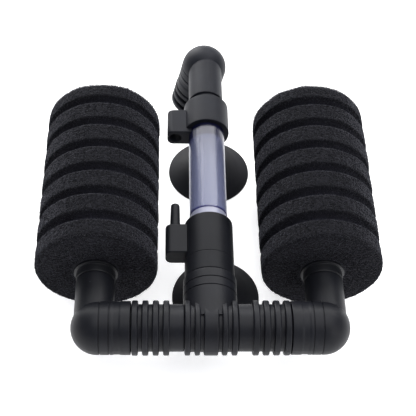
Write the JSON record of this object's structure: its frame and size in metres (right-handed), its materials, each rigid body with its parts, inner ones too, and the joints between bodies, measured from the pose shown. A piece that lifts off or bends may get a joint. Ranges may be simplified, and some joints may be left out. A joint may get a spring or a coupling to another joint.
{
  "type": "sponge filter",
  "caption": "Air-lift aquarium filter: ribbed foam cylinders on swivelling elbows, cross bar, clear lift tube with air nipple, turning outlet and suction cups.",
  "frame": {"origin": "below the middle of the whole, on the plane that the two suction cups stick to", "axes": "+Z out of the plane that the cups stick to, +Y up the lift tube (up in use, on an upright glass), +X along the cross bar"},
  "size_m": [0.1696, 0.2001, 0.071],
  "materials": {
    "sponge_foam": "matte",
    "moulded_plastic": "satin",
    "fitting_plastic": "satin",
    "core_plastic": "matte",
    "clear_tube": "gloss",
    "cup_rubber": "satin"
  },
  "bodies": {
    "riser": {"air_inlet_fitting": "fitting_plastic", "air_nipple": "fitting_plastic", "air_jet": "core_plastic", "lift_tube": "clear_tube", "top_collar": "fitting_plastic", "upper_suction_cup": "cup_rubber", "lower_suction_cup": "cup_rubber"},
    "bar": {"tee": "moulded_plastic", "left_connector": "moulded_plastic", "right_connector": "moulded_plastic"},
    "left_arm": {"left_elbow": "moulded_plastic", "left_core": "core_plastic", "left_core_cap": "core_plastic"},
    "right_arm": {"right_elbow": "moulded_plastic", "right_core": "core_plastic", "right_core_cap": "core_plastic"},
    "left_foam": {"left_sponge": "sponge_foam"},
    "right_foam": {"right_sponge": "sponge_foam"},
    "outlet": {"outlet_elbow": "moulded_plastic", "outlet_spout": "moulded_plastic"}
  },
  "joints": [
    {"name": "bar_swivel", "type": "hinge", "parent": "riser", "child": "bar", "pos_m": [0, -0.06925, 0.041], "axis": [0, 1, 0], "range_deg": [-8, 8]},
    {"name": "left_arm_swivel", "type": "hinge", "parent": "bar", "child": "left_arm", "pos_m": [-0.042, -0.08725, 0.041], "axis": [1, 0, 0], "range_deg": [0, 180]},
    {"name": "right_arm_swivel", "type": "hinge", "parent": "bar", "child": "right_arm", "pos_m": [0.042, -0.08725, 0.041], "axis": [1, 0, 0], "range_deg": [0, 180]},
    {"name": "left_sponge_pull", "type": "slide", "parent": "left_arm", "child": "left_foam", "axis": [0, 1, 0], "range_m": [0, 0.085]},
    {"name": "right_sponge_pull", "type": "slide", "parent": "right_arm", "child": "right_foam", "axis": [0, 1, 0], "range_m": [0, 0.085]},
    {"name": "outlet_swivel", "type": "hinge", "parent": "riser", "child": "outlet", "pos_m": [0, 0.05175, 0.041], "axis": [0, 1, 0], "continuous": true}
  ]
}
